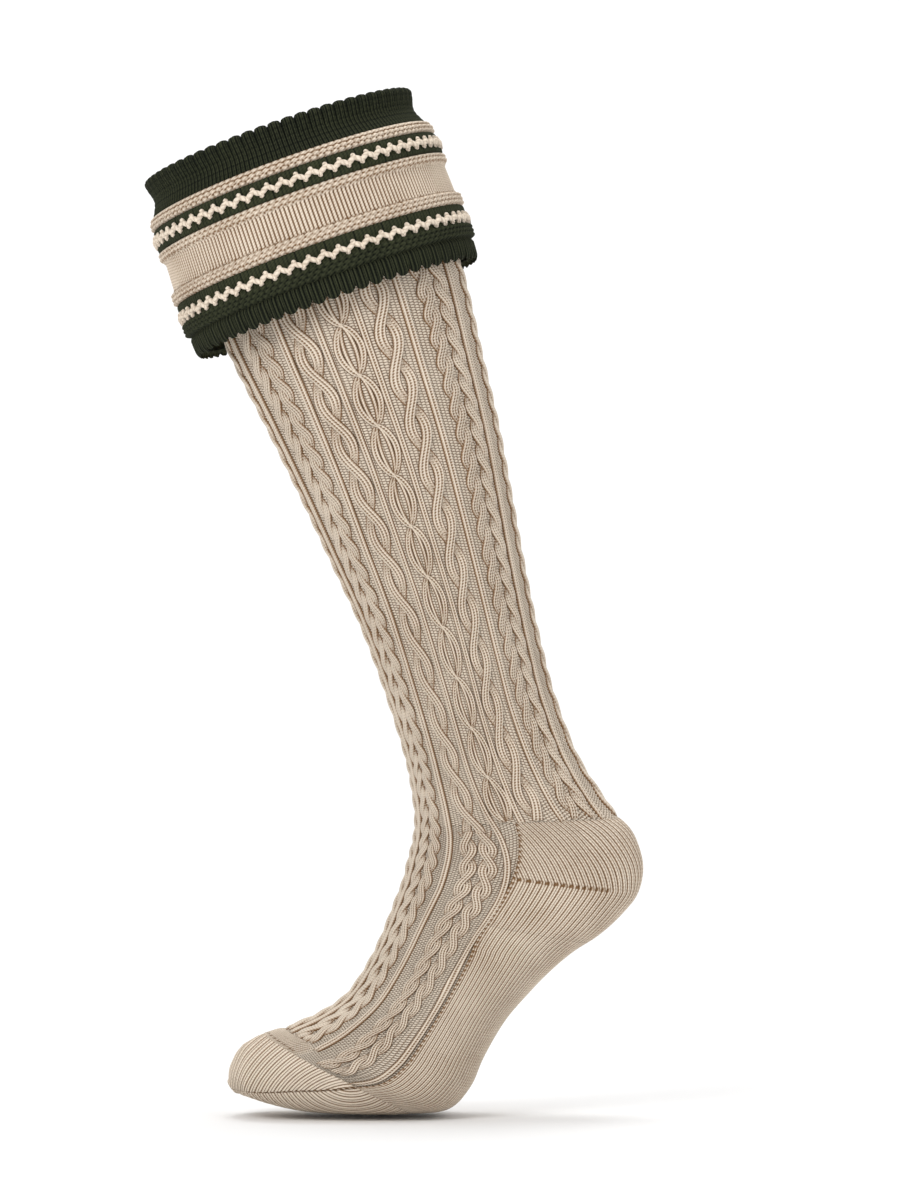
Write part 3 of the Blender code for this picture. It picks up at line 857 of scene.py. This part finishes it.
def add_toe(material):
    """Closed toe, whose wales run in arcs at its sides and lengthways over its tip."""
    station = wall_rows(TOE_STATION, TIP_STATION, STITCH / 2)[:, None]
    angle = np.arange(TOE_COLUMNS)[None] / TOE_COLUMNS * 2 * math.pi
    station, angle = np.broadcast_arrays(station, angle)
    tip_values = SECTION_VALUES[-1]
    tip = (tip_values[0:3] + tip_values[3:6]) / 2
    before = SECTION_VALUES[-2]
    forward = unit(tip - (before[0:3] + before[3:6]) / 2)

    def skin(depth):
        rings = knit_point(station, angle, depth)
        last = rings[-1]
        bend = np.linspace(0, math.pi / 2, 2 * WALL_COARSE + 1)[1:, None, None]
        shrink = np.maximum(np.cos(bend), 0.03)
        cap = tip + (last - tip) * shrink + forward * np.sin(bend) * (TIP_BULGE - np.max(depth))
        return np.concatenate([rings, cap])

    base = skin(np.zeros_like(station))
    turned = np.degrees(np.abs(np.mod(angle[0] + math.pi, 2 * math.pi) - math.pi))
    seam_angle = np.degrees(side_angle(TOE_STATION))
    back, middle = TOE_CENTRE
    mirrored = 2 * TOE_SEAM_HEIGHT - middle
    height = np.where(turned < seam_angle, base[..., 2] - middle, mirrored - base[..., 2])
    inward = BALL_WIDTH / 2 - np.abs(base[..., 1])
    reach = np.stack([back - base[..., 0], TOE_SIDE_SHARE * inward, height])
    ahead = np.clip((reach[0] - TIP_START) / TIP_RUN, 0, 1)
    blend = ahead ** 2 * (3 - 2 * ahead)
    wales = ((1 - blend) * np.linalg.norm(reach, axis=0) + blend * (TIP_REACH + inward)) / TOE_WALE
    courses = np.arctan2(height, reach[0]) * TOE_COURSE_RADIUS / STITCH
    row = np.arange(len(base))[:, None]
    seam = np.exp(-((turned - seam_angle) / TOE_SEAM_DEGREES) ** 2)
    seam = seam * (0.5 - 0.5 * np.cos(math.pi * row / 2))
    relief = ridge_depth(wales) + TOE_SEAM_DEPTH * seam
    # Painted shade between the wales and in the dented dots of the toe seam
    dark = np.maximum(TOE_GAP_SHADE * (1 - arch(wales)), seam)
    round_toe = np.roll(base, -1, axis=1) - np.roll(base, 1, axis=1)
    across = unit(np.cross(np.gradient(base, axis=0), round_toe))
    across *= np.sign(np.einsum("ijk,ijk->ij", across, base - base.mean(axis=(0, 1))))[..., None]
    outer = base - across * relief[..., None]
    inner = skin(np.full_like(station, PLAIN_WALL))[::WALL_COARSE, ::WALL_COARSE]
    parts = MeshParts()
    parts.add_dome(outer, inner, wales, courses, dark)
    parts.build("toe_knit", material, "beige_wool", "toe_cap")


def add_strand(parts, station, angle, half, depth, wales):
    """Ribbon of wales lying on the knitting; depth is that of its crest."""
    points = np.arange(2 * wales + 1)
    across = points / wales - 1
    valley = points % 2 == 0
    side = station[:, None]
    crest = depth[:, None] + valley * GROOVE + CREST_ROUND * across ** 2
    crest[:, [0, -1]] = EDGE_DEPTH
    top = knit_point(side, angle[:, None] + half * across, crest)
    under = np.array([0.6, -0.6])
    under_depth = np.maximum(depth + GROOVE, EDGE_DEPTH) + STRAND_BODY
    bottom = knit_point(side, angle[:, None] + half * under, under_depth[:, None])
    rings = np.concatenate([top, bottom], axis=1)
    u = np.concatenate([points / 2, [0.7 * wales, 0.3 * wales]]) * np.ones((len(station), 1))
    v = station[:, None] / STITCH * np.ones(rings.shape[1])
    # Painted shade: darker where a strand sinks under another at a crossing, along its outer edges and on
    # its underside
    sunk = np.clip((depth - CREST_DEPTH) / 0.0012, 0, 1)[:, None]
    outside = np.concatenate([0.9 * (np.abs(across) == 1), [1.0, 1.0]])
    shade = np.maximum(outside, 0.5 * sunk)
    parts.add_tube(rings, u, v, shade)


def rope_strands(station, pitch, opening, hand, snap):
    """Offset and height, both from -1 to 1, of each strand of a twisted column."""
    phase = math.pi * (station - opening) / pitch
    strands = []
    for turn in (0.0, math.pi):
        swing = np.cos(phase + turn)
        offset = np.sign(swing) * np.abs(swing) ** snap
        strands.append((offset, -np.sin(phase + turn) * hand))
    return strands


def end_sink(station):
    """Depth added where a column comes out of the ground and goes back into it."""
    from_end = np.minimum(station - station[0], station[-1] - station)
    return STRAND_END_DEPTH * np.clip(1 - from_end / STRAND_END, 0, 1) ** 2


def add_column(parts, line, strands, pitch, opening, hand, lift, end,
               start=CABLE_START, shift=0.0, snap=1.0):
    """One twisted column on both sides of the leg; hand is the way it twists, 1 or -1."""
    station = np.linspace(start, end, round((end - start) / STRAND_STEP) + 1)
    middle = column_angle(line, station) + math.radians(shift)
    keep = (station < HEEL_STATION) | (middle + SIDE_CLEARANCE < side_angle(station))
    if not keep.all():
        last = np.argmin(keep)
        station, middle = station[:last], middle[:last]
    for side in (1, -1):
        for offset, height in rope_strands(station, pitch, opening, hand, snap):
            for swing, half, wales in strands:
                angle = middle + math.radians(swing) * offset
                depth = CREST_DEPTH - lift * height + end_sink(station)
                add_strand(parts, station, side * angle, math.radians(half), depth, wales)


def add_rib(parts, line, end):
    """Two straight wales side by side, on both sides of the leg."""
    station = np.linspace(CABLE_START, end, round((end - CABLE_START) / STRAND_STEP) + 1)
    middle = column_angle(line, station)
    half = math.radians(RIB_HALF[line])
    for side in (1, -1):
        add_strand(parts, station, side * middle, half, end_sink(station) - RIB_LIFT, 2)


def add_chain(parts, line, end, start=CABLE_START):
    """Two ropes side by side that mirror each other."""
    half = CHAIN_HALF[line]
    strands = ((half / 2, half / 2, 3),)
    for hand in (1, -1):
        add_column(parts, line, strands, CHAIN_PITCH, CHAIN_OPEN, hand, CHAIN_LIFT, end,
                   start, shift=hand * half)


def add_cables(material):
    leg_end = HEEL_STATION + JOIN_GAP
    front = MeshParts()
    add_column(front, "front", FRONT_STRANDS, CHAIN_PITCH, CHAIN_OPEN, 1, FINE_LIFT, CABLE_END,
               shift=FRONT_SHIFT)
    add_rib(front, "rib_a", CABLE_END)
    add_chain(front, "chain_front", CABLE_END)
    add_rib(front, "rib_b", OUTER_RIB_END)
    front.build("front_cables", material, "beige_wool", "leg", "instep")

    side = MeshParts()
    add_column(side, "wave_front", WAVE_STRANDS, WAVE_PITCH, WAVE_OPEN, 1, WAVE_LIFT, WAVE_END)
    add_chain(side, "wave_front", SIDE_CABLE_END, SIDE_CHAIN_START)
    add_rib(side, "thin_front", TOE_STATION)
    add_column(side, "middle", DIAMOND_STRANDS, DIAMOND_PITCH, DIAMOND_OPEN, 1, FINE_LIFT, leg_end,
               snap=DIAMOND_SNAP)
    add_rib(side, "thin_back", leg_end)
    add_column(side, "wave_back", WAVE_STRANDS, WAVE_PITCH, WAVE_BACK_OPEN, -1, WAVE_LIFT, leg_end)
    side.build("side_cables", material, "beige_wool", "leg", "instep")

    back = MeshParts()
    add_rib(back, "rib_c", leg_end)
    add_chain(back, "chain_back", leg_end)
    add_rib(back, "rib_e", leg_end)
    add_column(back, "back", BACK_STRANDS, CHAIN_PITCH, CHAIN_OPEN, 1, FINE_LIFT, leg_end)
    back.build("back_cables", material, "beige_wool", "leg")


def loop_rows(angle, row, height):
    """Rows of purl bumps set half a loop apart, with painted shade in the dimples where their corners
    meet.
    """
    line = np.floor(row)
    shift = 0.5 * np.mod(line, 2)
    across = np.sin(math.pi * np.mod(angle * LOOPS / (2 * math.pi) + shift, 1.0))
    along = np.sin(math.pi * (row - line))
    bump = np.sqrt(across * along)
    dimple_shade = (1 - 0.85 * across) * (1 - 0.85 * along)
    return height * (bump - 0.6), dimple_shade


def cuff_band(name, material, slot, columns, rows, start, end, shape):
    """Band between two edges; shape(place, angle) gives its height and its painted shade."""
    angle = np.arange(columns)[None] / columns * 2 * math.pi
    share = np.linspace(0, 1, rows * CUFF_COARSE + 1)[:, None]
    top, bottom = (edge(angle) if callable(edge) else edge + 0 * angle for edge in (start, end))
    place = top + (bottom - top) * share
    angle = angle * np.ones_like(place)
    out, dark = shape(place, angle)
    outer = cuff_point(place, angle, out)
    shortest = top + (bottom.min() - top) * share
    inner = cuff_point(*coarse_grid(CUFF_COARSE, shortest, angle), np.array(-CUFF_WALL))
    u = angle / (2 * math.pi) * SCALLOPS * 3
    v = place * CUFF_LENGTH / STITCH
    parts = MeshParts()
    parts.add_wall(outer, inner, u, v, dark, True, SCALLOPS * 3)
    parts.build(name + "_knit", material, slot, name)


def around(angle, count):
    return angle * count / (2 * math.pi)


def teeth(angle):
    return TOOTH / CUFF_LENGTH * arch(around(angle, LOOPS)) ** 0.8


def profile(name, place):
    places, heights = zip(*BAND_ROWS[name])
    return np.interp(place, places, heights) * ROLL_RELIEF


def upper_roll(place, angle):
    loops, hole_shade = loop_rows(angle, (place - TOP_BAND_END) * CUFF_LENGTH / LOOP_ROW, LOOP_HEIGHT)
    # Painted shade in the loops' dimples
    return profile("cuff_upper_roll", place) + loops, hole_shade


def upper_stripe(place, angle):
    flutes = np.sqrt(arch(around(angle, RIBS)))
    level = np.where(np.abs(place - UPPER_ZIGZAG) < ZIGZAG_HALF, UPPER_HOLLOW, place)
    # Painted shade between the flutes
    return profile("cuff_upper_stripe", level) + FLUTE_HEIGHT * flutes, 0.6 * (1 - flutes)


def middle_band(place, angle):
    on_roll = (place < VALLEY_START) | (place > VALLEY_END)
    roll_start = np.where(place < VALLEY_START, UPPER_STRIPE_END, LOWER_ROLL_START)
    row = (place - roll_start) * CUFF_LENGTH / LOOP_ROW
    loops, hole_shade = loop_rows(angle, row, LOOP_HEIGHT)
    ribs = np.sqrt(arch(around(angle, RIBS)))
    out = np.where(on_roll, loops, RIB_HEIGHT * (ribs - 0.5))
    # Painted shade in the loops' dimples and between the ribs of the valley
    return profile("cuff_middle_band", place) + out, np.where(on_roll, hole_shade, 0.95 * (1 - ribs))


def lower_stripe(place, angle):
    on_roll = place > PURL_ROLL_START
    loops, hole_shade = loop_rows(angle, (place - PURL_ROLL_START) * CUFF_LENGTH / LOOP_ROW, LOOP_HEIGHT)
    rounded = np.sqrt(arch(around(angle, RIBS)))
    flutes = RIB_HEIGHT * 0.6 * (rounded - 0.5)
    level = np.where(np.abs(place - LOWER_ZIGZAG) < ZIGZAG_HALF, LOWER_HOLLOW, place)
    # Painted shade in the loops' dimples and between the flutes
    dark = np.where(on_roll, 0.9 * hole_shade, 0.6 * (1 - rounded))
    return profile("cuff_lower_stripe", level) + np.where(on_roll, loops, flutes), dark


def edge_band(place, angle):
    rounded = np.sqrt(arch(around(angle, RIBS)))
    ribs = RIB_HEIGHT * (rounded - 0.6)
    lobe = np.sqrt(arch(around(angle, SCALLOPS)))
    near = np.clip((place - 0.93) / 0.07, 0, 1)
    curl = -0.5 * CUFF_WALL * np.clip((place - 0.965) / 0.035, 0, 1) ** 2
    crease = 0.5 * ROLL_RELIEF * np.clip(1 - (place - EDGE_BAND_START) / 0.02, 0, 1)
    out = ribs * (1 - 0.5 * near) + curl - EDGE_GROOVE * near * (1 - lobe) - crease
    # Painted shade between the ribs and in the notches between scallops
    return out, np.maximum(1 - rounded, near * (1 - lobe))


def add_top_band(material):
    """Ribbed band that folds over at the opening in rounded fingers."""
    columns = SCALLOPS * 12
    angle = np.arange(columns)[None] / columns * 2 * math.pi
    lobe = np.sqrt(arch(around(angle, SCALLOPS)))
    radius = FOLD_RADIUS
    fold = (radius - FOLD_RISE + FOLD_SCALLOP * (1 - lobe)) / CUFF_LENGTH
    rounded = np.sqrt(arch(around(angle, SCALLOPS * 3)))
    down = np.linspace(1, 0, 4 * CUFF_COARSE + 1)[:-1, None]
    place = fold + (TOP_BAND_END - fold) * down
    rows = np.sqrt(arch(place * CUFF_LENGTH / BAND_ROW))
    ribs = BAND_RIB * (rounded - 0.5)
    near = np.clip(1 - (place - fold) / 0.11, 0, 1)
    relief = ribs + BAND_ROW_DEPTH * (rows - 1) - FINGER_GROOVE * near * (1 - lobe)
    outer_leg = cuff_point(place, angle, relief)
    bend = np.linspace(0, math.pi, CUFF_COARSE + 1)[:, None]
    outward = radius * (np.cos(bend) - 1) - FINGER_GROOVE * np.cos(bend / 2) * (1 - lobe) + ribs
    over = cuff_point(fold - np.sin(bend) * radius / CUFF_LENGTH, angle, outward)
    leg_start = TURN_DEPTH - JOIN_GAP
    lower = knit_point(np.full_like(angle, leg_start), angle, np.array(CABLE_RELIEF + CABLE_WALL))
    share = np.linspace(0, 1, CUFF_COARSE + 1)[1:, None, None]
    inner_leg = over[-1] + (lower - over[-1]) * share
    outer = np.concatenate([outer_leg, over, inner_leg])
    thin = angle[:, ::CUFF_COARSE]
    crook = (radius * 2 - FOLD_RISE + FOLD_SCALLOP) / CUFF_LENGTH
    back_places = np.linspace(TOP_BAND_END, crook, 5)[:, None]
    back = cuff_point(back_places, thin, np.array(-CUFF_WALL))
    end = knit_point(np.full_like(thin, leg_start), thin, np.array(CABLE_RELIEF))
    inner = np.concatenate([back, end])
    u = around(angle, SCALLOPS * 3) * np.ones((len(outer), 1))
    steps = np.linalg.norm(np.diff(outer[:, :1], axis=0), axis=-1)
    v = np.concatenate([[[0.0]], np.cumsum(steps, axis=0)]) / STITCH * np.ones_like(u)
    # Painted shade between the ribs and rows, in the notches between the fingers and round the fold; none
    # on the inner leg
    gap_shade = np.maximum(1 - rounded, 1 - lobe)
    weave_shade = np.maximum(1 - rounded, 0.6 * (1 - rows))
    dark = np.concatenate([np.maximum(near * gap_shade, weave_shade), np.ones_like(bend) * gap_shade,
                           np.zeros((CUFF_COARSE, columns))])
    parts = MeshParts()
    parts.add_wall(outer, inner, u, v, dark, True, SCALLOPS * 3)
    parts.build("cuff_top_band_knit", material, "green_wool", "cuff_top_band")


def add_zigzag(name, material, middle):
    """Beige cord that runs round the cuff in a zigzag and swells with each stitch."""
    count = SCALLOPS * ZIGZAG_POINTS
    x = np.arange(count) / ZIGZAG_POINTS
    angle = 2 * math.pi / SCALLOPS * (x + 0.14 * np.sin(4 * math.pi * x))
    swing = np.sin(2 * math.pi * x)
    place = middle + ZIGZAG_SWING / CUFF_LENGTH * swing
    lift = CORD_LIFT + 0.0003 * np.sin(4 * math.pi * x + 0.6)
    path = cuff_point(place, angle, lift)
    ahead = unit(np.roll(path, -1, axis=0) - np.roll(path, 1, axis=0))
    outward = unit(cuff_point(place, angle, lift + 0.001) - path)
    aside = unit(np.cross(ahead, outward))
    rise = np.cross(aside, ahead)
    turn = np.arange(CORD_SIDES)[None, :, None] / CORD_SIDES * 2 * math.pi
    radius = CORD_RADIUS * (1 + 0.2 * np.cos(8 * math.pi * x))[:, None, None]
    rings = path[:, None] + radius * (np.cos(turn) * aside[:, None] + np.sin(turn) * rise[:, None])
    u = np.arange(CORD_SIDES) / CORD_SIDES * 2 * np.ones((count, 1))
    v = np.arange(count)[:, None] * 0.35 * np.ones(CORD_SIDES)
    parts = MeshParts()
    parts.add_loop(rings, u, v)
    parts.build(name, material, "beige_wool")


def add_cuff(green_knit, green_yarn, beige_yarn):
    add_top_band(green_knit)
    cuff_band("cuff_upper_roll", beige_yarn, "beige_wool", SCALLOPS * 12, 3, TOP_BAND_END,
              lambda angle: UPPER_ROLL_END + teeth(angle), upper_roll)
    cuff_band("cuff_upper_stripe", green_yarn, "green_wool", SCALLOPS * 12, 3, UPPER_ROLL_END,
              UPPER_STRIPE_END, upper_stripe)
    cuff_band("cuff_middle_band", beige_yarn, "beige_wool", RIBS * 6, 7, UPPER_STRIPE_END,
              lambda angle: MIDDLE_BAND_END + teeth(angle), middle_band)
    cuff_band("cuff_lower_stripe", green_yarn, "green_wool", SCALLOPS * 12, 4, MIDDLE_BAND_END,
              EDGE_BAND_START, lower_stripe)
    cuff_band("cuff_edge_band", green_knit, "green_wool", RIBS * 6, 3, EDGE_BAND_START,
              lambda angle: 1 - EDGE_SCALLOP / CUFF_LENGTH * (1 - np.sqrt(arch(around(angle, SCALLOPS)))),
              edge_band)
    add_zigzag("upper_zigzag", beige_yarn, UPPER_ZIGZAG)
    add_zigzag("lower_zigzag", beige_yarn, LOWER_ZIGZAG)


def plain_surface(name, colour):
    material = bpy.data.materials.new(name)
    material.use_nodes = True
    shader = material.node_tree.nodes["Principled BSDF"]
    shader.inputs["Base Color"].default_value = (*colour, 1.0)
    shader.inputs["Roughness"].default_value = 0.95
    shader.inputs["Specular IOR Level"].default_value = 0.1
    return material


def add_floor():
    """Pale floor that curves up into a wall behind the sock."""
    bend = np.linspace(0, math.pi / 2, 16)
    y = np.concatenate([[-4.0], 1.6 + 0.8 * np.sin(bend), [2.4]])
    z = np.concatenate([[0.0], 0.8 * (1 - np.cos(bend)), [4.0]]) + FLOOR_HEIGHT
    points = [(x, a, b) for x in (-5.0, 5.0) for a, b in zip(y, z)]
    count = len(y)
    faces = [(i, i + 1, count + i + 1, count + i) for i in range(count - 1)]
    mesh = bpy.data.meshes.new("floor")
    mesh.from_pydata(points, [], faces)
    mesh.shade_smooth()
    mesh.materials.append(plain_surface("floor", (0.9, 0.9, 0.9)))
    floor = bpy.data.objects.new("floor", mesh)
    bpy.context.scene.collection.objects.link(floor)


def add_light(name, place, target, size, power):
    data = bpy.data.lights.new(name, "AREA")
    data.size = size
    data.energy = power
    light = bpy.data.objects.new(name, data)
    light.location = place
    light.rotation_euler = (Vector(target) - Vector(place)).to_track_quat("-Z", "Y").to_euler()
    bpy.context.scene.collection.objects.link(light)


def add_camera():
    data = bpy.data.cameras.new("camera")
    data.sensor_fit = "VERTICAL"
    data.sensor_height = SENSOR
    data.lens = SENSOR * CAMERA_DISTANCE / PICTURE_HEIGHT
    data.shift_y = (PICTURE_MIDDLE.z - CAMERA_HEIGHT) / PICTURE_HEIGHT
    camera = bpy.data.objects.new("camera", data)
    camera.location = (PICTURE_MIDDLE.x, -CAMERA_DISTANCE, CAMERA_HEIGHT)
    camera.rotation_euler = (math.pi / 2, 0.0, 0.0)
    bpy.context.scene.collection.objects.link(camera)
    bpy.context.scene.camera = camera


def light_scene():
    scene = bpy.context.scene
    world = bpy.data.worlds.new("studio")
    world.use_nodes = True
    background = world.node_tree.nodes["Background"]
    background.inputs["Color"].default_value = (1.0, 1.0, 1.0, 1.0)
    background.inputs["Strength"].default_value = 0.55
    scene.world = world
    scene.view_settings.view_transform = "Standard"
    middle = (0.05, 0.0, -0.25)
    add_light("key", (-0.9, -1.6, 0.9), middle, 1.0, 22.0)
    add_light("fill", (1.3, -1.5, 0.3), middle, 1.2, 9.0)
    add_light("wall", (0.0, 0.6, 2.2), (0.0, 2.0, -0.3), 1.6, 40.0)


def main():
    beige_knit = plain_wool("beige_knit", BEIGE_LIGHT, BEIGE_SHADED)
    beige_cable = cable_wool("beige_cable", BEIGE_LIGHT, BEIGE_SHADED)
    beige_purl = purl_wool("beige_purl", BEIGE_LIGHT, BEIGE_SHADED)
    beige_yarn = yarn_wool("beige_yarn", BEIGE_LIGHT, BEIGE_SHADED)
    green_knit = plain_wool("green_knit", GREEN_LIGHT, GREEN_SHADED)
    green_yarn = yarn_wool("green_yarn", GREEN_LIGHT, GREEN_SHADED)
    add_leg_ground(beige_purl)
    add_instep_ground(beige_purl)
    add_plain_knitting(beige_knit)
    add_toe(beige_knit)
    add_cables(beige_cable)
    add_cuff(green_knit, green_yarn, beige_yarn)
    add_floor()
    light_scene()
    add_camera()


main()
